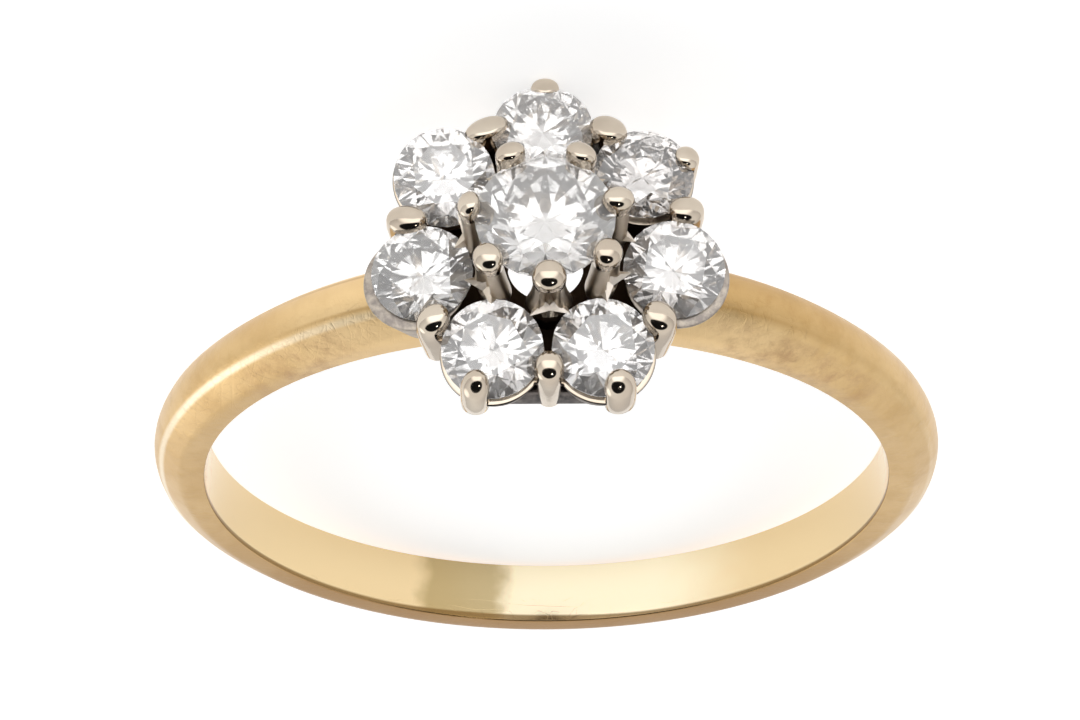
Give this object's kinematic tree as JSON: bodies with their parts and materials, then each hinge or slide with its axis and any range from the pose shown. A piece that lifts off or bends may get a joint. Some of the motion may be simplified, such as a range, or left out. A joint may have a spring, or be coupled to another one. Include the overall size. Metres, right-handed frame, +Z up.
{
  "type": "flower cluster finger ring",
  "caption": "Finger ring with a plain tapering band and a raised flower head of claw-set round brilliant stones, lying on its side.",
  "frame": {"origin": "the point of the resting surface under the middle of the ring's box", "axes": "+Z up from the surface that the ring lies on; -Y towards the flower head; +X across the band; the finger axis is tilted about 10 degrees from +Z because the ring leans on its head"},
  "size_m": [0.0196, 0.0228, 0.0081],
  "materials": {
    "yellow_gold": "worn satin outside, polished inside",
    "white_gold": "warm polished white gold, darkened in its recesses",
    "clear_stone": "faceted and polished"
  },
  "bodies": {
    "root": {"shank": "yellow_gold", "setting": "white_gold", "centre_stone": "clear_stone", "outer_stone_1": "clear_stone", "outer_stone_2": "clear_stone", "outer_stone_3": "clear_stone", "outer_stone_4": "clear_stone", "outer_stone_5": "clear_stone", "outer_stone_6": "clear_stone", "outer_stone_7": "clear_stone"}
  },
  "joints": []
}
